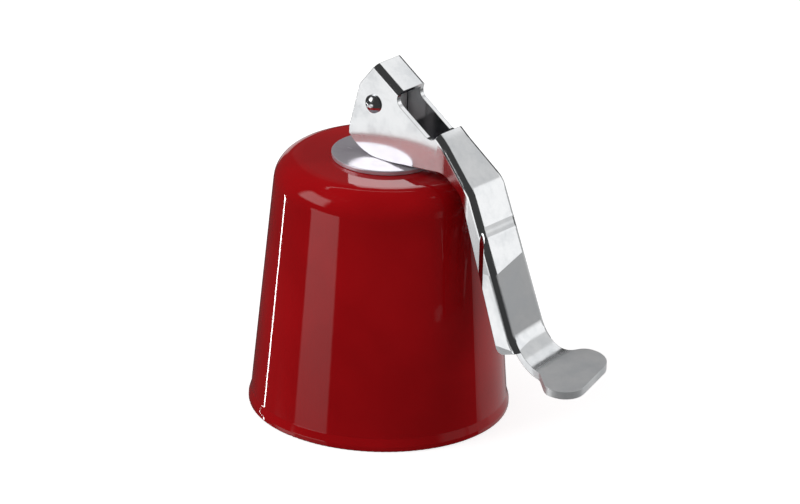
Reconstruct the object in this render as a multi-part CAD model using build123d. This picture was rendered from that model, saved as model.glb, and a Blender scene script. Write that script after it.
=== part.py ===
from build123d import *
import os
from math import cos, hypot, radians, sin

# Lever-operated bottle closure: a bell-shaped cap that stands over a bottle's neck, with a stamped
# cam lever on top that pulls a rod and squeezes a rubber plug inside the bottle's mouth.
# Millimetres. The origin is the centre of the bell's rim, on the plane it stands on. +Z runs up the
# bell's axis and +X points from the rod to the lever's thumb pad. The lever is modelled closed.

# Sheet and clearances
SHEET = 0.9
PIN_PLAY = 0.05
ROD_PLAY = 0.08
CAM_GAP = 0.05
SEARCH_SLACK = 0.05

# Bell: a thin cone with a small bead round its rim and a rounded shoulder
RIM_RADIUS = 22.4
BEAD_HEIGHT = 0.95
BEAD_FILLET = 0.6
RIM_EDGE = 0.35
RIM_FLARE = 0.15
CONE_FOOT_RADIUS = 22.0
CONE_FOOT_Z = 2.3
SHOULDER_RADIUS = 18.5
BELL_HEIGHT = 45.1
SHOULDER_FILLET = 4.75
BELL_WALL = 1.8
BELL_HOLE_EDGE = 0.2

# Cam washer: the polished disc on the bell's roof that the lever presses on
WASHER_RADIUS = 9.15
WASHER_THICK = 0.8
WASHER_EDGE = 0.15
WASHER_TOP = BELL_HEIGHT + WASHER_THICK

# Pivot rivet through the lever's cheeks and the rod's eye
PIVOT_Z = 55.5
PIN_RADIUS = 1.2
PIN_HEAD_RADIUS = 1.6
PIN_HEAD_HEIGHT = 1.05
PIN_HEAD_EDGE = 0.3

# Cam: the cheek's lower edge lets the rod drop by an equal amount for each degree of lever travel
CAM_DROP_PER_RADIAN = 1.3
CAM_REACH = PIVOT_Z - WASHER_TOP - CAM_GAP
CAM_LAST_ANGLE = 60
CAM_STEPS = 6
LEVER_OPEN_ANGLE = 100
ROD_DROP = CAM_DROP_PER_RADIAN * radians(LEVER_OPEN_ANGLE)

# Lever: folded sheet, narrow at its head and wider down the arm
HEAD_HALF_WIDTH = 3.4
ARM_HALF_WIDTH = 4.65
SPLAY_START_X = 15.0
SPLAY_END_X = 21.4
SPLAY_RADIUS = 9.0
FOLD_RADIUS = 1.1

# The lever's outer surface from the side: the corners of one bent line, and the radius of each bend
BRIDGE_BACK = (0.3, 62.7)
WINDOW_END = (14.65, 53.45)
ARM_KNEE = (22.7, 46.3)
ARM_FOOT = (34.0, 19.0)
PAD_TIP = (46.4, 17.8)
HUMP_RADIUS = 25.0
KNEE_RADIUS = 6.0
FOOT_RADIUS = 7.6

# The foot is bent a little askew: its bend line climbs the arm by this much for each millimetre across
FOOT_SKEW = 0.09
STRAIGHT_ARM_Z = 32.0

# Cheeks and flanges from the side
CHEEK_BACK_CORNER = (-3.15, 58.35)
CHEEK_BACK_FOOT = (-5.3, 50.0)
CAM_FLAT_END_X = 3.0
CHEEK_FRONT = (15.9, 47.35)
FLANGE_TOP = (20.3, 45.0)
FLANGE_DEPTH_TOP = 2.55
FLANGE_DEPTH_END = 4.0
FLANGE_END_Z = 18.85
FLANGE_CORNER = 1.3
FLANGE_DEPTH_TOP_Z = 42.8
CHEEK_TOP_RADIUS = 1.5
CHEEK_BACK_RADIUS = 6.0
CAM_FRONT_RADIUS = 14.0
CHEEK_FRONT_RADIUS = 5.0
FLANGE_TOP_RADIUS = 2.5
FLANGE_BACK_RADIUS = 4.0

# Where the folded channel ends on the foot's bend, and the strip carries on alone
CHANNEL_END = (34.2, 20.3)
CHANNEL_END_TOP_X = 40.0

# Window cut through the folds between the bridge and the arm, in the bridge's own frame
WINDOW_START = 6.5
WINDOW_LENGTH = 10.0
WINDOW_DEPTH = 2.25
WINDOW_CORNER = 1.6

# Thumb pad, in a plan frame at its own centre that stands askew to the arm, and the strip up to it
STRIP_START_X = 33.0
STRIP_HALF_WIDTH = 3.75
PAD_CENTRE = (41.5, 0.3)
PAD_SKEW = 13.0
PAD_NEAR_NECK = (-3.7, -4.0)
PAD_FAR_NECK = (-3.2, 4.7)
PAD_SHOULDER_X = -0.9
PAD_TIP_X = 4.5
PAD_HALF_WIDTH = 7.6
NEAR_NECK_RADIUS = 1.2
FAR_NECK_RADIUS = 3.0
PAD_SHOULDER_RADIUS = 2.6
PAD_TIP_RADIUS = 3.8

# Low rim turned down round the strip and the pad, measured from the top surface
RIM_LIP_DEPTH = 1.3
RIM_LIP_WIDTH = 0.9

# Pull rod: a flat eye between the cheeks, then a round shank down through the bell
EYE_WIDTH = 5.0
EYE_THICK = 4.7
EYE_TOP = 59.0
EYE_BOTTOM = 50.4
EYE_CORNER = 1.3
EYE_FOOT_CORNER = 0.8
SHANK_OVERLAP = 1.0
ROD_RADIUS = 1.9
ROD_TIP_Z = 18.4
ROD_TIP_EDGE = 0.5

# Sealing stack inside the bell
PLATE_RADIUS = 13.5
PLATE_THICK = 1.2
PLATE_EDGE = 0.4
SEAL_RADIUS = 14.5
SEAL_THICK = 2.6
SEAL_EDGE = 0.6
PLUG_RADIUS = 8.7
PLUG_HEIGHT = 18.0
PLUG_BORE_RADIUS = 2.3
PLUG_BORE_EDGE = 0.3
PLUG_NOSE = 1.2
PLUG_NECK_RADIUS = 8.0
PLUG_TOP_EDGE = 0.4
LOWER_PLATE_RADIUS = 7.6
LOWER_PLATE_THICK = 1.4
LOWER_PLATE_EDGE = 0.5
NUT_ACROSS_FLATS = 7.0
NUT_HEIGHT = 3.2
NUT_CHAMFER = 0.5

ROOF_UNDERSIDE = BELL_HEIGHT - BELL_WALL
PLATE_UNDERSIDE = ROOF_UNDERSIDE - PLATE_THICK
SEAL_UNDERSIDE = PLATE_UNDERSIDE - SEAL_THICK
PLUG_BOTTOM = PLATE_UNDERSIDE - PLUG_HEIGHT
LOWER_PLATE_BOTTOM = PLUG_BOTTOM - LOWER_PLATE_THICK
FAR = 60.0
SIDE = 20.0


def turned(points, radii):
    """A solid of revolution about Z from a closed outline of (radius, height) points."""
    outline = FilletPolyline(*points, radius=radii, close=True)
    return revolve(make_face(Plane.XZ * outline), Axis.Z)


def disc(outer_radius, bore_radius, bottom, top, edge):
    """A flat ring with its outer corners eased by `edge`."""
    corners = [(bore_radius, bottom), (outer_radius, bottom), (outer_radius, top), (bore_radius, top)]
    return turned(corners, [0, edge, edge, 0])


def side_plate(outline):
    """A closed XZ outline carried far out to both sides of the lever's middle plane."""
    return extrude(make_face(Plane.XZ * outline), SIDE, both=True)


def plan_prism(face):
    """An XY face carried far up and down."""
    return extrude(face, 2 * FAR, both=True)


def make_bell():
    """The cap: bead, cone, shoulder and roof in one thin wall, with the rod's hole in the roof."""
    hole = ROD_RADIUS + ROD_PLAY
    outline = [
        (hole, BELL_HEIGHT),
        (SHOULDER_RADIUS, BELL_HEIGHT),
        (CONE_FOOT_RADIUS, CONE_FOOT_Z),
        (RIM_RADIUS, BEAD_HEIGHT),
        (RIM_RADIUS, 0),
        (CONE_FOOT_RADIUS - BELL_WALL + RIM_FLARE, 0),
        (SHOULDER_RADIUS - BELL_WALL, ROOF_UNDERSIDE),
        (hole, ROOF_UNDERSIDE),
    ]
    inner_fillet = SHOULDER_FILLET - BELL_WALL
    radii = [BELL_HOLE_EDGE, SHOULDER_FILLET, BEAD_FILLET, BEAD_FILLET, RIM_EDGE, RIM_EDGE, inner_fillet, 0]
    return turned(outline, radii)


def make_cam_washer():
    return disc(WASHER_RADIUS, ROD_RADIUS + ROD_PLAY, BELL_HEIGHT, WASHER_TOP, WASHER_EDGE)


WEB_POINTS = [BRIDGE_BACK, WINDOW_END, ARM_KNEE, ARM_FOOT, PAD_TIP]


def inward(points, distance):
    """The corners of an open XZ line moved to its right-hand side, so that each leg stays parallel."""
    legs = [(b[0] - a[0], b[1] - a[1]) for a, b in zip(points, points[1:])]
    normals = [(dz / hypot(dx, dz), -dx / hypot(dx, dz)) for dx, dz in legs]
    moved = []
    for index, (x, z) in enumerate(points):
        before = normals[max(index - 1, 0)]
        after = normals[min(index, len(normals) - 1)]
        share = distance / (1 + before[0] * after[0] + before[1] * after[1])
        moved.append((x + share * (before[0] + after[0]), z + share * (before[1] + after[1])))
    return moved


def beyond(start, end, distance):
    """A point past `end` on the XZ line from `start` through `end`."""
    dx = end[0] - start[0]
    dz = end[1] - start[1]
    share = distance / hypot(dx, dz)
    return (end[0] + share * dx, end[1] + share * dz)


def below_web(depth):
    """Everything under the lever's outer surface, or under a surface `depth` below it.

    Below the straight middle of the arm the same outline is carried askew, which turns the foot's
    bend and the pad a little while it leaves the arm's own plane alone.
    """
    line = [beyond(WINDOW_END, BRIDGE_BACK, FAR), *WEB_POINTS[1:-1], beyond(ARM_FOOT, PAD_TIP, FAR)]
    corners = inward(line, depth)
    corners += [(corners[-1][0], -FAR), (corners[0][0], -FAR)]
    radii = [0, HUMP_RADIUS - depth, KNEE_RADIUS - depth, FOOT_RADIUS + depth, 0, 0, 0]
    outline = make_face(Plane.XZ * FilletPolyline(*corners, radius=radii, close=True))
    run_x = ARM_FOOT[0] - ARM_KNEE[0]
    run_z = ARM_FOOT[1] - ARM_KNEE[1]
    climb = FOOT_SKEW / hypot(run_x, run_z)
    across = Vector(-run_x * climb, 1, -run_z * climb)
    upper = Pos(0, 0, STRAIGHT_ARM_Z + 2 * FAR) * Box(8 * FAR, 8 * FAR, 4 * FAR)
    straight = extrude(outline, SIDE, both=True)
    askew = extrude(outline, SIDE, dir=across, both=True)
    return (straight & upper) + (askew - upper)


def cam_point(degrees):
    """Where the cheek touches the washer when the lever stands at this angle."""
    angle = radians(degrees)
    reach = CAM_REACH - CAM_DROP_PER_RADIAN * angle
    x = CAM_DROP_PER_RADIAN * cos(angle) - reach * sin(angle)
    z = -CAM_DROP_PER_RADIAN * sin(angle) - reach * cos(angle)
    return (x, PIVOT_Z + z)


def cam_relief():
    """What is cut from the cheeks' lower back corner to leave the cam's curve."""
    touches = [cam_point(CAM_LAST_ANGLE * step / CAM_STEPS) for step in range(CAM_STEPS + 1)]
    first = touches[0]
    last = touches[-1]
    leave = (-cos(radians(CAM_LAST_ANGLE)), sin(radians(CAM_LAST_ANGLE)))
    curve = Spline(*touches, tangents=[(-1, 0), leave])
    far_x = last[0] - CAM_REACH
    closing = Polyline(last, (far_x, last[1]), (far_x, 0), (first[0], 0), first)
    return extrude(make_face(Plane.XZ * (curve + closing)), SIDE, both=True)


def mirrored_outline(half, radii):
    """A closed plan outline from the points of its +Y half, with the same corners on both sides."""
    other = [(x, -y) for x, y in reversed(half)]
    return FilletPolyline(*half, *other, radius=radii + radii[::-1], close=True)


def folded_plan(inset):
    """The folded part in plan: narrow at the head, then splayed to the arm's width."""
    head = HEAD_HALF_WIDTH - inset
    arm = ARM_HALF_WIDTH - inset
    half = [(-FAR, head), (SPLAY_START_X, head), (SPLAY_END_X, arm), (FAR, arm)]
    return plan_prism(make_face(mirrored_outline(half, [0, SPLAY_RADIUS, SPLAY_RADIUS, 0])))


def pad_plan():
    """The strip and the rounded thumb pad in plan, as one outline."""
    pad = [
        PAD_NEAR_NECK,
        (PAD_SHOULDER_X, -PAD_HALF_WIDTH),
        (PAD_TIP_X, -PAD_HALF_WIDTH),
        (PAD_TIP_X, PAD_HALF_WIDTH),
        (PAD_SHOULDER_X, PAD_HALF_WIDTH),
        PAD_FAR_NECK,
    ]
    placed = [Vector(*point).rotate(Axis.Z, PAD_SKEW) + Vector(*PAD_CENTRE) for point in pad]
    corners = [(STRIP_START_X, -STRIP_HALF_WIDTH), *placed, (STRIP_START_X, STRIP_HALF_WIDTH)]
    radii = [
        0,
        NEAR_NECK_RADIUS,
        PAD_SHOULDER_RADIUS,
        PAD_TIP_RADIUS,
        PAD_TIP_RADIUS,
        PAD_SHOULDER_RADIUS,
        FAR_NECK_RADIUS,
        0,
    ]
    return make_face(FilletPolyline(*corners, radius=radii, close=True))


def rim_plan(plan):
    """The rim round the strip and the pad in plan, open at the end that joins the channel."""
    opening = Pos(STRIP_START_X, 0) * Rectangle(2 * STRIP_HALF_WIDTH, 2 * (STRIP_HALF_WIDTH - RIM_LIP_WIDTH))
    return plan - offset(plan, -RIM_LIP_WIDTH) - opening


def beside_arm(z, depth):
    """The XZ point at height `z` that lies `depth` behind the arm's outer surface."""
    share = (z - ARM_KNEE[1]) / (ARM_FOOT[1] - ARM_KNEE[1])
    run_x = ARM_FOOT[0] - ARM_KNEE[0]
    run_z = ARM_FOOT[1] - ARM_KNEE[1]
    return (ARM_KNEE[0] + share * run_x + depth * hypot(run_x, run_z) / run_z, z)


def cheek_outline():
    """The cheeks and flanges from the side, with the cam's corner still square."""
    floor_z = WASHER_TOP + CAM_GAP
    corners = [
        BRIDGE_BACK,
        CHEEK_BACK_CORNER,
        CHEEK_BACK_FOOT,
        (CHEEK_BACK_FOOT[0], floor_z),
        (CAM_FLAT_END_X, floor_z),
        CHEEK_FRONT,
        FLANGE_TOP,
        beside_arm(FLANGE_DEPTH_TOP_Z, FLANGE_DEPTH_TOP),
        beside_arm(FLANGE_END_Z, FLANGE_DEPTH_END),
        CHANNEL_END,
        (CHANNEL_END_TOP_X, BRIDGE_BACK[1]),
    ]
    radii = [
        0,
        CHEEK_TOP_RADIUS,
        CHEEK_BACK_RADIUS,
        0,
        CAM_FRONT_RADIUS,
        CHEEK_FRONT_RADIUS,
        FLANGE_TOP_RADIUS,
        FLANGE_BACK_RADIUS,
        FLANGE_CORNER,
        0,
        0,
    ]
    return side_plate(FilletPolyline(*corners, radius=radii, close=True))


def fold_edges(channel):
    """The long edges where the outer surface turns down into the cheeks and flanges."""
    line = Plane.XZ * FilletPolyline(*WEB_POINTS, radius=[HUMP_RADIUS, KNEE_RADIUS, FOOT_RADIUS])
    found = []
    for edge in channel.edges():
        middle = edge @ 0.5
        flat = Vector(middle.X, 0, middle.Z)
        if abs(middle.Y) > HEAD_HALF_WIDTH - SEARCH_SLACK and line.distance_to(flat) < SEARCH_SLACK:
            found.append(edge)
    return found


def window():
    """The hole cut in the blank, which after folding opens the roof and notches both cheeks."""
    run_x = WINDOW_END[0] - BRIDGE_BACK[0]
    run_z = WINDOW_END[1] - BRIDGE_BACK[1]
    frame = Plane(origin=(BRIDGE_BACK[0], 0, BRIDGE_BACK[1]), x_dir=(run_x, 0, run_z), z_dir=(0, -1, 0))
    end = WINDOW_START + WINDOW_LENGTH
    corners = [(WINDOW_START, -WINDOW_DEPTH), (end, -WINDOW_DEPTH), (end, FAR), (WINDOW_START, FAR)]
    outline = FilletPolyline(*corners, radius=[WINDOW_CORNER, WINDOW_CORNER, 0, 0], close=True)
    return extrude(make_face(frame * outline), SIDE, both=True)


def cross_hole(radius):
    """A hole through everything along the pivot's axis."""
    return Plane(origin=(0, 0, PIVOT_Z), z_dir=(0, 1, 0)) * Cylinder(radius, FAR)


def make_lever():
    """The stamped cam lever: cheeks with their cam edge, bridge, window, flanged arm and pad."""
    channel = below_web(0) & cheek_outline() & folded_plan(0)
    channel -= cam_relief()
    channel = fillet(fold_edges(channel), FOLD_RADIUS)
    channel -= below_web(SHEET) & folded_plan(SHEET)
    plan = pad_plan()
    strip = (below_web(0) - below_web(SHEET)) & plan_prism(plan)
    rim = (below_web(SHEET) - below_web(RIM_LIP_DEPTH)) & plan_prism(rim_plan(plan))
    lever = channel + strip + rim
    lever -= window()
    lever -= cross_hole(PIN_RADIUS)
    return lever


def make_pivot_pin():
    """The rivet: a plain shank with a low dome on each side of the lever."""
    reach = HEAD_HALF_WIDTH
    crown = reach + PIN_HEAD_HEIGHT
    edge = reach + PIN_HEAD_EDGE
    dome = TangentArc((0, crown), (PIN_HEAD_RADIUS, edge), tangent=(1, 0))
    other_dome = TangentArc((0, -crown), (PIN_HEAD_RADIUS, -edge), tangent=(1, 0))
    side = Polyline(
        (PIN_HEAD_RADIUS, edge),
        (PIN_HEAD_RADIUS, reach),
        (PIN_RADIUS, reach),
        (PIN_RADIUS, -reach),
        (PIN_HEAD_RADIUS, -reach),
        (PIN_HEAD_RADIUS, -edge),
    )
    outline = dome + side + other_dome + Line((0, -crown), (0, crown))
    rivet = revolve(make_face(Plane.XZ * outline), Axis.Z)
    return Plane(origin=(0, 0, PIVOT_Z), z_dir=(0, 1, 0)) * rivet


def make_pull_rod():
    """The flat eye and the round shank, cut from one bar."""
    width = EYE_WIDTH / 2
    corners = [(-width, EYE_BOTTOM), (width, EYE_BOTTOM), (width, EYE_TOP), (-width, EYE_TOP)]
    radii = [EYE_FOOT_CORNER, EYE_FOOT_CORNER, EYE_CORNER, EYE_CORNER]
    eye = make_face(Plane.XZ * FilletPolyline(*corners, radius=radii, close=True))
    rod = extrude(eye, EYE_THICK / 2, both=True)
    top = EYE_BOTTOM + SHANK_OVERLAP
    rod += turned([(0, ROD_TIP_Z), (ROD_RADIUS, ROD_TIP_Z), (ROD_RADIUS, top), (0, top)], [0, ROD_TIP_EDGE, 0, 0])
    return rod - cross_hole(PIN_RADIUS + PIN_PLAY)


def make_inner_plate():
    return disc(PLATE_RADIUS, ROD_RADIUS + ROD_PLAY, PLATE_UNDERSIDE, ROOF_UNDERSIDE, PLATE_EDGE)


def make_lip_seal():
    return disc(SEAL_RADIUS, PLUG_NECK_RADIUS, SEAL_UNDERSIDE, PLATE_UNDERSIDE, SEAL_EDGE)


def make_rubber_plug():
    corners = [
        (PLUG_BORE_RADIUS, PLUG_BOTTOM),
        (PLUG_RADIUS, PLUG_BOTTOM),
        (PLUG_RADIUS, SEAL_UNDERSIDE),
        (PLUG_NECK_RADIUS, SEAL_UNDERSIDE),
        (PLUG_NECK_RADIUS, PLATE_UNDERSIDE),
        (PLUG_BORE_RADIUS, PLATE_UNDERSIDE),
    ]
    return turned(corners, [PLUG_BORE_EDGE, PLUG_NOSE, PLUG_TOP_EDGE, 0, 0, 0])


def make_lower_plate():
    return disc(LOWER_PLATE_RADIUS, ROD_RADIUS, LOWER_PLATE_BOTTOM, PLUG_BOTTOM, LOWER_PLATE_EDGE)


def make_end_nut():
    """The plain hexagon nut that holds the stack on the rod."""
    hexagon = extrude(RegularPolygon(NUT_ACROSS_FLATS / 2, 6, major_radius=False), NUT_HEIGHT)
    nut = Pos(0, 0, LOWER_PLATE_BOTTOM - NUT_HEIGHT) * hexagon
    corner = NUT_ACROSS_FLATS / 2 / cos(radians(30))
    low = LOWER_PLATE_BOTTOM - NUT_HEIGHT
    nut &= turned([(0, low), (corner, low), (corner, LOWER_PLATE_BOTTOM), (0, LOWER_PLATE_BOTTOM)],
                  [0, NUT_CHAMFER, 0, 0])
    return nut - Cylinder(ROD_RADIUS, FAR * 2)


PARTS = {
    "bell": make_bell,
    "cam_washer": make_cam_washer,
    "lever": make_lever,
    "pivot_pin": make_pivot_pin,
    "pull_rod": make_pull_rod,
    "inner_plate": make_inner_plate,
    "lip_seal": make_lip_seal,
    "rubber_plug": make_rubber_plug,
    "lower_plate": make_lower_plate,
    "end_nut": make_end_nut,
}

os.makedirs("parts", exist_ok=True)
for name, make in PARTS.items():
    export_step(make(), f"parts/{name}.step")
print(f"rod drop over the lever's travel: {ROD_DROP:.3f} mm")
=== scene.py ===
"""The looks of a lever-operated bottle closure: a glossy red bell cap with a stamped cam lever on top.

Everything is in metres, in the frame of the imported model: the origin is the centre of the bell's rim,
+Z runs up the bell's axis, and +X points from the axis towards the lever's thumb pad.
"""

import logging
import math
from dataclasses import dataclass, field
from enum import Enum
from typing import Any

import bmesh
import bpy
from mathutils import Matrix, Vector

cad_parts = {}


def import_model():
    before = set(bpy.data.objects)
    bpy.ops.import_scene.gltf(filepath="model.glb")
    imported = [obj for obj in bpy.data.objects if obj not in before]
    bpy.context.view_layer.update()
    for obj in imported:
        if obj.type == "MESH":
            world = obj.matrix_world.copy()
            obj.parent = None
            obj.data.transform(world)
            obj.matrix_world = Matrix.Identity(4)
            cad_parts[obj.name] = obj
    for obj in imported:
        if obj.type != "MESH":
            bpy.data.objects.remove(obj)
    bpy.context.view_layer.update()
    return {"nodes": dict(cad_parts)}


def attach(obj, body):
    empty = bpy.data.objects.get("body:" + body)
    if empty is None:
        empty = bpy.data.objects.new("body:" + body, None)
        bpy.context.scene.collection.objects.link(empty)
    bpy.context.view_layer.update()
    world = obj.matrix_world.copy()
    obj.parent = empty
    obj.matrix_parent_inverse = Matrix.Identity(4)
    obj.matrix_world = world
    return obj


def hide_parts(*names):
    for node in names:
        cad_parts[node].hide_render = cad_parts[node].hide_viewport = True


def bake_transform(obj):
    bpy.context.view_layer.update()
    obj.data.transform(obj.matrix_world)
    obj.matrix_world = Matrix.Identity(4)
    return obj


LOG = logging.getLogger("bottle_closure")
MM = 0.001
SATIN_DIFFUSE = 0.45
SATIN_ROUGHNESS = 0.22
IMAGE_WIDTH = 800
Colour = tuple[float, float, float]
Value = Any


class Slot(Enum):
    """Names for the material slots."""

    RED_PLASTIC = "red_plastic"
    POLISHED_STEEL = "polished_steel"
    NICKEL_STEEL = "nickel_steel"
    PLAIN_STEEL = "plain_steel"
    BLACK_RUBBER = "black_rubber"


class Body(Enum):
    """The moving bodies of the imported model."""

    BELL = "bell_body"
    ROD = "rod_body"
    LEVER = "lever_body"


class Signal:
    """One output of a node tree, on which sums are written as plain Python expressions."""

    def __init__(self, tree: "Tree", socket: bpy.types.NodeSocket) -> None:
        """Wraps a socket.

        Args:
            tree: The tree that the socket's node belongs to.
            socket: The output socket.
        """
        self.tree = tree
        self.socket = socket

    def _sum(self, operation: str, first: Value, second: Value) -> "Signal":
        """Adds one Math node and returns its result."""
        return self.tree.node("ShaderNodeMath", {"operation": operation}, {0: first, 1: second})

    def __add__(self, other: Value) -> "Signal":
        """self + other."""
        return self._sum("ADD", self, other)

    def __radd__(self, other: Value) -> "Signal":
        """other + self."""
        return self._sum("ADD", other, self)

    def __sub__(self, other: Value) -> "Signal":
        """self - other."""
        return self._sum("SUBTRACT", self, other)

    def __rsub__(self, other: Value) -> "Signal":
        """other - self."""
        return self._sum("SUBTRACT", other, self)

    def __mul__(self, other: Value) -> "Signal":
        """self * other."""
        return self._sum("MULTIPLY", self, other)

    def __rmul__(self, other: Value) -> "Signal":
        """other * self."""
        return self._sum("MULTIPLY", other, self)

    def __truediv__(self, other: Value) -> "Signal":
        """self / other."""
        return self._sum("DIVIDE", self, other)

    def __pow__(self, other: Value) -> "Signal":
        """self ** other."""
        return self._sum("POWER", self, other)


class Tree:
    """A node tree of a material or of the world, with one method that makes any node."""

    def __init__(self, owner: bpy.types.Material | bpy.types.World) -> None:
        """Starts an empty tree.

        Args:
            owner: The material or world whose nodes are built.
        """
        owner.use_nodes = True
        self.nodes = owner.node_tree.nodes
        self.links = owner.node_tree.links
        self.nodes.clear()

    def node(
        self,
        kind: str,
        settings: dict[str, Value] | None = None,
        sockets: dict[int | str, Value] | None = None,
        output: int | str = 0,
    ) -> Signal:
        """Makes one node.

        Args:
            kind: The node's type name.
            settings: Its attributes, set first. "stops" gives a ramp's (position, colour) pairs.
            sockets: Values or signals for its inputs, by name or number.
            output: The output to return.

        Returns:
            The node's chosen output.
        """
        made = self.nodes.new(kind)
        for name, value in (settings or {}).items():
            if name == "stops":
                self._set_stops(made.color_ramp, value)
            else:
                setattr(made, name, value)
        for key, value in (sockets or {}).items():
            if isinstance(value, Signal):
                self.links.new(value.socket, made.inputs[key])
            else:
                made.inputs[key].default_value = value
        if not made.outputs:
            return Signal(self, None)
        return Signal(self, made.outputs[output])

    @staticmethod
    def _set_stops(ramp: bpy.types.ColorRamp, stops: list[tuple[float, Colour]]) -> None:
        """Gives a colour ramp its stops, in rising order."""
        while len(ramp.elements) < len(stops):
            ramp.elements.new(1.0)
        for element, (position, colour) in zip(ramp.elements, stops):
            element.position = position
            element.color = (*colour, 1.0)

    def place(self) -> Signal:
        """The point's place in the object's own frame, in metres."""
        return self.node("ShaderNodeTexCoord", output="Object")

    def split(self, vector: Signal, axis: str) -> Signal:
        """One coordinate of a vector."""
        return self.node("ShaderNodeSeparateXYZ", sockets={0: vector}, output=axis)

    def stretched(self, vector: Signal, scale: tuple[float, float, float]) -> Signal:
        """A place with each axis scaled by its own factor."""
        return self.node("ShaderNodeMapping", sockets={"Vector": vector, "Scale": scale})

    def noise(self, vector: Signal, scale: float, detail: float = 2.0, roughness: float = 0.5) -> Signal:
        """Smooth noise from 0 to 1."""
        sockets = {"Vector": vector, "Scale": scale, "Detail": detail, "Roughness": roughness}
        return self.node("ShaderNodeTexNoise", sockets=sockets)

    def fade(self, value: Signal, start: float, end: float, low: float = 0.0, high: float = 1.0) -> Signal:
        """A smooth step of a value from `low` at `start` to `high` at `end`."""
        sockets = {"Value": value, "From Min": start, "From Max": end, "To Min": low, "To Max": high}
        return self.node("ShaderNodeMapRange", {"interpolation_type": "SMOOTHSTEP"}, sockets)

    def blend(self, share: Value, first: Value, second: Value) -> Signal:
        """A colour between two colours."""
        first = first if isinstance(first, Signal) else (*first, 1.0)
        second = second if isinstance(second, Signal) else (*second, 1.0)
        return self.node("ShaderNodeMix", {"data_type": "RGBA"}, {0: share, 6: first, 7: second}, output=2)

    def bump(self, height: Signal, depth: float, strength: float = 1.0, normal: Signal | None = None) -> Signal:
        """A bumped normal, with the depth in metres of a height of 1."""
        sockets = {"Height": height, "Distance": depth, "Strength": strength}
        if normal is not None:
            sockets["Normal"] = normal
        return self.node("ShaderNodeBump", sockets=sockets)

    def finish(self, kind: str, sockets: dict[int | str, Value]) -> None:
        """Ends a material's tree with one shader and its output."""
        shader = self.node(kind, sockets=sockets)
        self.node("ShaderNodeOutputMaterial", sockets={"Surface": shader})


@dataclass(frozen=True)
class RedPlastic:
    """Deep red moulded plastic with a high gloss and a faint orange-peel."""

    colour: Colour = (0.40, 0.0035, 0.006)
    deep: Colour = (0.33, 0.0025, 0.0045)
    roughness: float = 0.045

    def material(self, name: str) -> bpy.types.Material:
        """Builds the material.

        Args:
            name: The material's name.

        Returns:
            The material.
        """
        made = bpy.data.materials.new(name)
        tree = Tree(made)
        place = tree.place()
        cloud = tree.noise(place, 55.0, 3.0)
        colour = tree.blend(tree.fade(cloud, 0.35, 0.7), self.colour, self.deep)
        peel = tree.noise(place, 420.0, 1.0)
        haze = tree.noise(place, 160.0, 4.0)
        shine = self.roughness + 0.03 * tree.fade(haze, 0.45, 0.8)
        tree.finish("ShaderNodeBsdfPrincipled", {
            "Base Color": colour,
            "Roughness": shine,
            "IOR": 1.47,
            "Specular IOR Level": 0.42,
            "Normal": tree.bump(peel, 0.004 * MM),
        })
        return made


@dataclass(frozen=True)
class Steel:
    """Bare or plated steel: smooth colour, fine grain, rolling waves, hairline scratches and eased edges."""

    colour: Colour = (0.80, 0.81, 0.82)
    shade: Colour = (0.66, 0.68, 0.70)
    metallic: float = 1.0
    roughness: float = 0.12
    uneven: float = 0.08
    grain_size: float = 2600.0
    grain_depth: float = 0.0012
    wave_size: float = 70.0
    wave_depth: float = 0.05
    scratch_depth: float = 0.0008
    edge: float = 0.12

    def shape(self, tree: Tree, place: Signal) -> Signal:
        """The normal of the eased edges and the sheet's slow waves."""
        eased_edge = tree.node("ShaderNodeBevel", {"samples": 6}, {"Radius": self.edge * MM})
        wave = tree.noise(place, self.wave_size, 1.0)
        return tree.bump(wave, self.wave_depth * MM, normal=eased_edge)

    def satin(self, tree: Tree, place: Signal) -> Value:
        """How satin the surface is at each point, from 0 to 1."""
        return 0.0

    def material(self, name: str) -> bpy.types.Material:
        """Builds the material.

        Args:
            name: The material's name.

        Returns:
            The material.
        """
        made = bpy.data.materials.new(name)
        tree = Tree(made)
        place = tree.place()
        cloud = tree.noise(place, 180.0, 4.0, 0.6)
        grain = tree.noise(place, self.grain_size, 2.0, 0.6)
        hair = tree.noise(tree.stretched(place, (300.0, 6000.0, 900.0)), 1.0, 2.0)
        satin = self.satin(tree, place)
        colour = tree.blend(tree.fade(cloud, 0.35, 0.75), self.colour, self.shade)
        rough = self.roughness + self.uneven * tree.fade(cloud, 0.4, 0.75) + 0.05 * tree.fade(hair, 0.62, 0.8)
        sockets = {"Base Color": colour, "Metallic": self.metallic, "Roughness": rough}
        if isinstance(satin, Signal):
            sockets["Metallic"] = self.metallic - SATIN_DIFFUSE * satin
            sockets["Roughness"] = rough + SATIN_ROUGHNESS * satin
        normal = tree.bump(grain, self.grain_depth * MM, normal=self.shape(tree, place))
        sockets["Normal"] = tree.bump(tree.fade(hair, 0.6, 0.8), self.scratch_depth * MM, normal=normal)
        tree.finish("ShaderNodeBsdfPrincipled", sockets)
        return made


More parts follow.
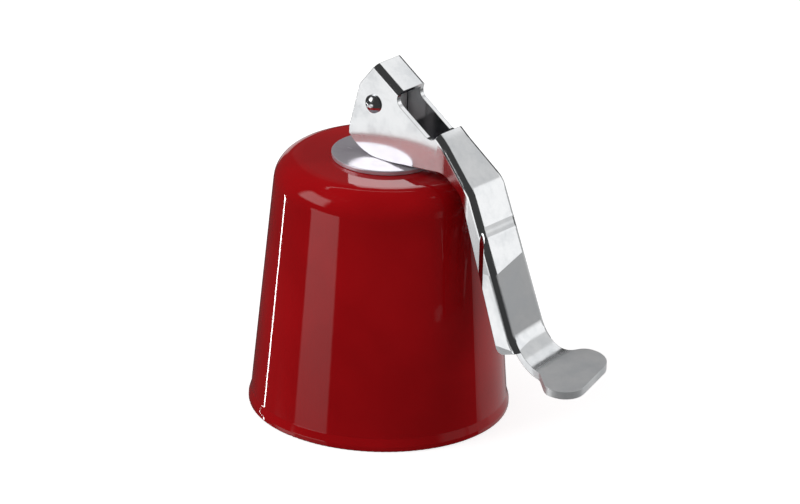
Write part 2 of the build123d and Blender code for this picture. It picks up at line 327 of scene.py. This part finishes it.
@dataclass(frozen=True)
class LeverPlate(Steel):
    """Bright nickel on the lever's stamping, satin on the thumb pad, with the arm pressed a little hollow."""

    pad_start_x: float = 36.5
    pad_full_x: float = 38.5
    pad_top_z: float = 22.0
    hollow_top_z: float = 33.6
    hollow_bottom_z: float = 21.5
    hollow_slant: float = 0.23
    hollow_slope: float = 0.085
    arm_start_x: float = 26.0

    def shape(self, tree: Tree, place: Signal) -> Signal:
        """Adds the arm's hollow, a gentle slope whose upper end runs aslant."""
        x = tree.split(place, "X")
        height = tree.split(place, "Z") - self.hollow_slant * tree.split(place, "Y")
        run = self.hollow_top_z - self.hollow_bottom_z
        ramp = tree.node("ShaderNodeMapRange", sockets={
            "Value": height,
            "From Min": self.hollow_bottom_z * MM,
            "From Max": self.hollow_top_z * MM,
        })
        on_arm = tree.fade(x, (self.arm_start_x - 1) * MM, self.arm_start_x * MM)
        depth = run * self.hollow_slope
        return tree.bump(ramp * on_arm, depth * MM, normal=super().shape(tree, place))

    def satin(self, tree: Tree, place: Signal) -> Value:
        """1 on the pad and the end of the strip, and 0 above them."""
        along = tree.fade(tree.split(place, "X"), self.pad_start_x * MM, self.pad_full_x * MM)
        below = tree.fade(tree.split(place, "Z"), self.pad_top_z * MM, (self.pad_top_z + 2) * MM, 1.0, 0.0)
        return along * below


@dataclass(frozen=True)
class BlackRubber:
    """Moulded black rubber with a dry, finely mottled skin."""

    colour: Colour = (0.022, 0.022, 0.023)
    dust: Colour = (0.055, 0.054, 0.052)
    roughness: float = 0.55

    def material(self, name: str) -> bpy.types.Material:
        """Builds the material.

        Args:
            name: The material's name.

        Returns:
            The material.
        """
        made = bpy.data.materials.new(name)
        tree = Tree(made)
        place = tree.place()
        cloud = tree.noise(place, 260.0, 4.0, 0.65)
        skin = tree.noise(place, 3200.0, 2.0)
        tree.finish("ShaderNodeBsdfPrincipled", {
            "Base Color": tree.blend(tree.fade(cloud, 0.45, 0.8), self.colour, self.dust),
            "Roughness": self.roughness + 0.15 * cloud,
            "Specular IOR Level": 0.4,
            "Normal": tree.bump(skin, 0.004 * MM),
        })
        return made


def dress(node: bpy.types.Object, material: bpy.types.Material) -> None:
    """Gives every material slot of an object one material.

    Args:
        node: The object, a CAD node or a piece.
        material: The material.
    """
    if not node.material_slots:
        node.data.materials.append(material)
    for slot in node.material_slots:
        slot.material = material


def turned_mesh(name: str, outline: list[tuple[float, float]], steps: int) -> bpy.types.Object:
    """A closed solid of revolution about Z.

    Args:
        name: The piece's name.
        outline: A closed outline of (radius, height) points in millimetres, without its first point repeated.
        steps: How many faces go round.

    Returns:
        The piece, smooth shaded, with its normals pointing out.
    """
    work = bmesh.new()
    rings = []
    for step in range(steps):
        angle = 2 * math.pi * step / steps
        across = Vector((math.cos(angle), math.sin(angle), 0))
        rings.append([work.verts.new(across * radius * MM + Vector((0, 0, z * MM))) for radius, z in outline])
    for here, there in zip(rings, rings[1:] + rings[:1]):
        for low in range(len(outline)):
            high = (low + 1) % len(outline)
            work.faces.new((here[low], there[low], there[high], here[high]))
    bmesh.ops.recalc_face_normals(work, faces=work.faces)
    mesh = bpy.data.meshes.new(name)
    work.to_mesh(mesh)
    work.free()
    mesh.polygons.foreach_set("use_smooth", [True] * len(mesh.polygons))
    piece = bpy.data.objects.new(name, mesh)
    bpy.context.scene.collection.objects.link(piece)
    return piece


def eased(corners: list[tuple[float, float, float]], steps: int = 5) -> list[tuple[float, float]]:
    """Rounds the corners of a closed outline.

    Args:
        corners: (radius, height, rounding) of each corner, in millimetres.
        steps: How many lengths each rounding is made of.

    Returns:
        The outline's points.
    """
    points = []
    for index, (x, z, rounding) in enumerate(corners):
        corner = Vector((x, z))
        before = Vector(corners[index - 1][:2]) - corner
        after = Vector(corners[(index + 1) % len(corners)][:2]) - corner
        if rounding == 0:
            points.append((x, z))
            continue
        start = corner + before.normalized() * rounding
        end = corner + after.normalized() * rounding
        for step in range(steps + 1):
            share = step / steps
            point = start * (1 - share) ** 2 + corner * 2 * share * (1 - share) + end * share**2
            points.append((point.x, point.y))
    return points


@dataclass
class BellCap:
    """The bell, its cam washer and the plate inside it."""

    red: RedPlastic = field(default_factory=RedPlastic)
    washer_steel: Steel = field(default_factory=lambda: Steel(
        colour=(0.72, 0.68, 0.74), shade=(0.60, 0.55, 0.62), metallic=0.55, roughness=0.2, wave_depth=0.02))
    plate_steel: Steel = field(default_factory=lambda: Steel(
        colour=(0.60, 0.61, 0.62), shade=(0.48, 0.49, 0.50), roughness=0.3, grain_depth=0.003))

    def build(self, nodes: dict[str, bpy.types.Object]) -> None:
        """Dresses the bell's nodes.

        Args:
            nodes: The CAD nodes by name.
        """
        dress(nodes["bell"], self.red.material("red_plastic"))
        dress(nodes["cam_washer"], self.washer_steel.material("washer_steel"))
        dress(nodes["inner_plate"], self.plate_steel.material("inner_plate_steel"))
        LOG.info("bell, cam_washer and inner_plate dressed")


@dataclass
class CamLever:
    """The stamped lever and the rivet that it turns on."""

    plated: LeverPlate = field(default_factory=LeverPlate)
    rivet: Steel = field(default_factory=lambda: Steel(
        colour=(0.70, 0.71, 0.73), shade=(0.55, 0.56, 0.58), roughness=0.16, wave_depth=0.0))

    def build(self, nodes: dict[str, bpy.types.Object]) -> None:
        """Dresses the lever's nodes.

        Args:
            nodes: The CAD nodes by name.
        """
        dress(nodes["lever"], self.plated.material("nickel_plate"))
        dress(nodes["pivot_pin"], self.rivet.material("rivet_steel"))
        LOG.info("lever and pivot_pin dressed")


@dataclass
class SealStack:
    """The rubber plug and the lip seal, which replace their plain CAD solids. Sizes in millimetres."""

    seal_radius: float = 14.5
    seal_bore: float = 8.0
    seal_bottom: float = 39.5
    seal_top: float = 42.1
    plug_radius: float = 8.7
    plug_neck: float = 8.0
    plug_bore: float = 2.3
    plug_bottom: float = 24.1
    plug_top: float = 42.1
    rib_count: int = 3
    rib_height: float = 0.16
    around: int = 128
    rubber: BlackRubber = field(default_factory=BlackRubber)

    def _plug_outline(self) -> list[tuple[float, float]]:
        """The plug's outline, with three low sealing ribs round its wall."""
        wall = self.plug_radius
        shoulder = self.seal_bottom
        points = eased([(self.plug_bore, self.plug_bottom, 0.3), (wall, self.plug_bottom, 1.2)])
        first = self.plug_bottom + 4.0
        pitch = (shoulder - first - 3.0) / (self.rib_count - 1)
        for rib in range(self.rib_count):
            middle = first + pitch * rib
            for turn in range(-6, 7):
                rise = 0.5 + 0.5 * math.cos(math.pi * turn / 6)
                points.append((wall + self.rib_height * rise, middle + 0.12 * turn))
        points += eased([
            (wall, shoulder, 0.4),
            (self.plug_neck, shoulder, 0.0),
            (self.plug_neck, self.plug_top, 0.0),
            (self.plug_bore, self.plug_top, 0.3),
        ])
        return points

    def build(self) -> None:
        """Builds and dresses the two rubber pieces, and mounts the lip seal on the bell."""
        rubber = self.rubber.material("black_rubber")
        plug = turned_mesh("moulded_plug", self._plug_outline(), self.around)
        dress(plug, rubber)
        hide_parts("rubber_plug")
        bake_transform(plug)
        groove = (self.seal_radius + self.plug_radius) / 2
        seal = turned_mesh("moulded_lip_seal", eased([
            (self.seal_bore, self.seal_top, 0.0),
            (self.seal_bore, self.seal_bottom, 0.0),
            (groove - 1.2, self.seal_bottom, 0.4),
            (groove - 0.7, self.seal_bottom + 0.5, 0.3),
            (groove + 0.7, self.seal_bottom + 0.5, 0.3),
            (groove + 1.2, self.seal_bottom, 0.4),
            (self.seal_radius, self.seal_bottom, 0.6),
            (self.seal_radius, self.seal_top, 0.6),
        ]), self.around)
        dress(seal, rubber)
        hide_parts("lip_seal")
        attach(seal, Body.BELL.value)
        LOG.info("moulded_plug and moulded_lip_seal built")


@dataclass
class PullRod:
    """The rod, its lower plate and its nut."""

    rod_steel: Steel = field(default_factory=lambda: Steel(
        colour=(0.86, 0.87, 0.88), shade=(0.74, 0.75, 0.76), metallic=0.4, roughness=0.35))
    plain_steel: Steel = field(default_factory=lambda: Steel(
        colour=(0.60, 0.61, 0.62), shade=(0.48, 0.49, 0.50), roughness=0.28, grain_depth=0.003))

    def build(self, nodes: dict[str, bpy.types.Object]) -> None:
        """Dresses the rod's nodes.

        Args:
            nodes: The CAD nodes by name.
        """
        dress(nodes["pull_rod"], self.rod_steel.material("rod_steel"))
        plain = self.plain_steel.material("plain_steel")
        dress(nodes["lower_plate"], plain)
        dress(nodes["end_nut"], plain)
        LOG.info("pull_rod, lower_plate and end_nut dressed")


@dataclass(frozen=True)
class Softbox:
    """One rectangular studio lamp, aimed at the object. It lights, but doesn't show in gloss."""

    name: str
    bearing: float
    elevation: float
    distance: float
    width: float
    height: float
    radiance: float


@dataclass(frozen=True)
class Panel:
    """A stretch of the studio's walls as gloss shows it, in degrees round the object."""

    left: float
    right: float
    low: float
    high: float
    radiance: float
    soft_left: float = 4.0
    soft_right: float = 4.0
    soft_low: float = 4.0
    soft_high: float = 4.0


@dataclass(frozen=True)
class Card:
    """A glowing upright card close to the object that only gloss shows. Lengths in metres."""

    name: str
    bearing: float
    distance: float
    width: float
    low: float
    high: float
    radiance_low: float
    radiance_high: float
    soft: float
    lean: float = 0.0


@dataclass
class Studio:
    """The floor, the world, the lamps and the camera.

    Bearings are in degrees round the object, 0 towards the camera and positive to its right.
    """

    azimuth: float = 40.0
    elevation: float = 23.005
    roll: float = 1.641
    distance: float = 1026.2
    focal_pixels: float = 6000.0
    aim_height: float = 20.0
    aim_right: float = 3.16
    aim_up: float = 6.758
    sensor: float = 36.0
    floor_size: float = 3.0
    wall_radiance: float = 0.05
    even_light: float = 0.42
    lamps: list[Softbox] = field(default_factory=lambda: [
        Softbox("key_softbox", -75.0, 42.0, 0.60, 0.34, 0.34, 4.6),
        Softbox("fill_softbox", 80.0, 35.0, 0.70, 0.40, 0.40, 2.4),
    ])
    panels: list[Panel] = field(default_factory=lambda: [
        Panel(-100, -66, -50, -19.5, 1.15, soft_left=16, soft_low=10, soft_high=3),
        Panel(-98, -64, 10, 38, 2.6, soft_left=8, soft_right=8, soft_low=6, soft_high=8),
        Panel(102, 166, -50, 0, 0.55, soft_left=10, soft_right=20, soft_high=6),
        Panel(84, 128, 3.5, 31, 1.15, soft_left=3, soft_low=5, soft_high=5),
        Panel(84, 122, 31, 60, 0.72, soft_left=3, soft_low=5, soft_right=6),
        Panel(122, 152, 32, 60, 1.05, soft_left=6, soft_right=5),
        Panel(84, 110, -12, 3.5, 0.40, soft_left=3, soft_high=4),
        Panel(56, 82, -12, 8, 0.35, soft_left=12, soft_right=8, soft_low=8, soft_high=8),
        Panel(168, 195, 12, 40, 0.10, soft_left=6, soft_right=6),
        Panel(120, 240, 56.3, 58.0, 2.2, soft_left=20, soft_right=20, soft_low=0.8, soft_high=0.8),
        Panel(-175, -163, -13, 4, 0.8, soft_left=4, soft_right=4, soft_low=4, soft_high=4),
    ])
    cards: list[Card] = field(default_factory=lambda: [
        Card("left_card", -60.0, 0.30, 0.185, -0.15, 0.01, 0.25, 1.5, 0.012),
        Card("edge_card", -119.5, 0.42, 0.013, -0.30, -0.06, 9.0, 30.0, 0.003),
    ])

    def axes(self) -> tuple[Vector, Vector, Vector]:
        """The camera's right, up and back directions."""
        a = math.radians(self.azimuth)
        e = math.radians(self.elevation)
        r = math.radians(self.roll)
        right = Vector((math.cos(a), math.sin(a), 0))
        back = Vector((math.sin(a) * math.cos(e), -math.cos(a) * math.cos(e), math.sin(e)))
        up = back.cross(right)
        return right * math.cos(r) + up * math.sin(r), up * math.cos(r) - right * math.sin(r), back

    def camera(self) -> None:
        """Makes the camera at the photograph's place."""
        right, up, back = self.axes()
        place = back * self.distance + Vector((0, 0, self.aim_height)) + right * self.aim_right + up * self.aim_up
        data = bpy.data.cameras.new("photo_camera")
        data.sensor_width = self.sensor
        data.lens = self.focal_pixels / IMAGE_WIDTH * self.sensor
        data.clip_start = 0.01
        data.clip_end = 20.0
        made = bpy.data.objects.new("photo_camera", data)
        turn = Matrix((right, up, back)).transposed().to_4x4()
        made.matrix_world = Matrix.Translation(place * MM) @ turn
        bpy.context.scene.collection.objects.link(made)
        bpy.context.scene.camera = made

    def direction(self, bearing: float, elevation: float) -> Vector:
        """The unit vector from the object at a bearing from the camera and an elevation, in degrees."""
        a = math.radians(self.azimuth + bearing)
        e = math.radians(elevation)
        return Vector((math.sin(a) * math.cos(e), -math.cos(a) * math.cos(e), math.sin(e)))

    def lamp(self, box: Softbox) -> None:
        """Makes one softbox.

        Args:
            box: Its name, place, size and radiance.
        """
        data = bpy.data.lights.new(box.name, "AREA")
        data.shape = "RECTANGLE"
        data.size = box.width
        data.size_y = box.height
        data.energy = box.radiance * box.width * box.height * math.pi
        made = bpy.data.objects.new(box.name, data)
        away = self.direction(box.bearing, box.elevation)
        made.location = away * box.distance + Vector((0, 0, 0.03))
        made.rotation_mode = "QUATERNION"
        made.rotation_quaternion = (-away).to_track_quat("-Z", "Y")
        made.visible_camera = False
        made.visible_glossy = False
        bpy.context.scene.collection.objects.link(made)

    def card(self, card: Card) -> None:
        """Makes one glowing card, soft at its edges and brighter towards its top.

        Args:
            card: Its name, place, size and radiance.
        """
        away = self.direction(card.bearing, 0.0)
        side = Vector((-away.y, away.x, 0))
        mesh = bpy.data.meshes.new(card.name)
        half = card.width / 2
        corners = []
        for across, height in ((-half, card.low), (half, card.low), (half, card.high), (-half, card.high)):
            corners.append(away * card.distance + side * (across + card.lean * height) + Vector((0, 0, height)))
        mesh.from_pydata(corners, [], [(0, 1, 2, 3)])
        mesh.uv_layers.new(name="UVMap")
        for loop, place in zip(mesh.uv_layers[0].data, ((0, 0), (1, 0), (1, 1), (0, 1))):
            loop.uv = place
        made = bpy.data.objects.new(card.name, mesh)
        bpy.context.scene.collection.objects.link(made)
        material = bpy.data.materials.new(card.name)
        tree = Tree(material)
        place = tree.node("ShaderNodeTexCoord", output="UV")
        across = tree.split(place, "X")
        height = tree.split(place, "Y")
        soft_side = card.soft / card.width
        soft_end = card.soft / (card.high - card.low)
        mask = tree.fade(across, 0.0, soft_side) * tree.fade(across, 1 - soft_side, 1.0, 1.0, 0.0)
        mask = mask * tree.fade(height, 0.0, soft_end) * tree.fade(height, 1 - soft_end, 1.0, 1.0, 0.0)
        glow = tree.fade(height, 0.1, 0.9, card.radiance_low, card.radiance_high)
        light = tree.node("ShaderNodeEmission", sockets={"Strength": glow})
        clear = tree.node("ShaderNodeBsdfTransparent")
        both = tree.node("ShaderNodeMixShader", sockets={0: mask, 1: clear, 2: light})
        tree.node("ShaderNodeOutputMaterial", sockets={"Surface": both})
        dress(made, material)
        made.visible_camera = False
        made.visible_diffuse = False
        made.visible_transmission = False
        made.visible_shadow = False

    def walls(self, tree: Tree) -> Signal:
        """The studio's walls as gloss shows them: dark, with the panels laid over each other."""
        way = tree.node("ShaderNodeTexCoord", output="Generated")
        a = math.radians(self.azimuth)
        across = tree.node("ShaderNodeVectorMath", {"operation": "DOT_PRODUCT"},
                           {0: way, 1: (math.cos(a), math.sin(a), 0.0)}, "Value")
        towards = tree.node("ShaderNodeVectorMath", {"operation": "DOT_PRODUCT"},
                            {0: way, 1: (math.sin(a), -math.cos(a), 0.0)}, "Value")
        turn = tree.node("ShaderNodeMath", {"operation": "ARCTAN2"}, {0: across, 1: towards})
        rise = tree.node("ShaderNodeMath", {"operation": "ARCSINE"}, {0: tree.split(way, "Z")})
        bearing = turn * math.degrees(1.0)
        elevation = rise * math.degrees(1.0)
        light = tree.fade(elevation, -90.0, 90.0, self.wall_radiance, self.wall_radiance)
        for panel in self.panels:
            middle = (panel.left + panel.right) / 2
            half = (panel.right - panel.left) / 2
            off = tree.node("ShaderNodeMath", {"operation": "WRAP"}, {0: bearing - middle, 1: 180.0, 2: -180.0})
            mask = self.step(tree, off, -half, panel.soft_left) * (1.0 - self.step(tree, off, half, panel.soft_right))
            mask = mask * self.step(tree, elevation, panel.low, panel.soft_low)
            mask = mask * (1.0 - self.step(tree, elevation, panel.high, panel.soft_high))
            light = light + (panel.radiance - light) * mask
        return light

    @staticmethod
    def step(tree: Tree, value: Signal, edge: float, soft: float) -> Signal:
        """0 below an edge and 1 above it, with a soft crossing."""
        return tree.fade(value, edge - soft / 2, edge + soft / 2)

    def world(self) -> None:
        """Lights the scene evenly, shows the studio's walls in gloss and stays white behind the object."""
        made = bpy.data.worlds.new("studio")
        bpy.context.scene.world = made
        tree = Tree(made)
        white = (1.0, 1.0, 1.0, 1.0)
        gloss = tree.node("ShaderNodeBackground", sockets={"Color": white, "Strength": self.walls(tree)})
        even = tree.node("ShaderNodeBackground", sockets={"Color": white, "Strength": self.even_light})
        backdrop = tree.node("ShaderNodeBackground", sockets={"Color": white, "Strength": 1.0})
        lit = tree.node("ShaderNodeMixShader", sockets={0: self.ray_test(tree, "Is Glossy Ray"), 1: even, 2: gloss})
        seen = tree.node("ShaderNodeMath", {"operation": "MAXIMUM"},
                         {0: self.ray_test(tree, "Is Camera Ray"), 1: self.ray_test(tree, "Is Transmission Ray")})
        mixed = tree.node("ShaderNodeMixShader", sockets={0: seen, 1: lit, 2: backdrop})
        tree.node("ShaderNodeOutputWorld", sockets={"Surface": mixed})

    @staticmethod
    def ray_test(tree: Tree, name: str) -> Signal:
        """1 for rays of one kind, and 0 for others."""
        return tree.node("ShaderNodeLightPath", output=name)

    def floor(self) -> None:
        """Lays a pale floor that reads as white where nothing shades it."""
        half = self.floor_size / 2
        mesh = bpy.data.meshes.new("floor")
        corners = [(-half, -half, 0), (half, -half, 0), (half, half, 0), (-half, half, 0)]
        mesh.from_pydata(corners, [], [(0, 1, 2, 3)])
        made = bpy.data.objects.new("floor", mesh)
        bpy.context.scene.collection.objects.link(made)
        material = bpy.data.materials.new("pale_floor")
        tree = Tree(material)
        paper = tree.node("ShaderNodeBsdfDiffuse", sockets={"Color": (0.55, 0.55, 0.55, 1.0)})
        glow = tree.node("ShaderNodeEmission", sockets={"Strength": self.ray_test(tree, "Is Camera Ray") * 0.72})
        both = tree.node("ShaderNodeAddShader", sockets={0: paper, 1: glow})
        tree.node("ShaderNodeOutputMaterial", sockets={"Surface": both})
        dress(made, material)
        made.visible_glossy = False

    def build(self) -> None:
        """Sets up everything round the object."""
        view = bpy.context.scene.view_settings
        view.view_transform = "Standard"
        self.camera()
        self.world()
        self.floor()
        for box in self.lamps:
            self.lamp(box)
        for card in self.cards:
            self.card(card)
        LOG.info("studio built")


def main() -> None:
    """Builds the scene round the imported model."""
    logging.basicConfig(level=logging.INFO, format="%(name)s: %(message)s")
    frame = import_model()
    Studio().build()
    BellCap().build(frame["nodes"])
    CamLever().build(frame["nodes"])
    SealStack().build()
    PullRod().build(frame["nodes"])


if __name__ == "__main__":
    main()
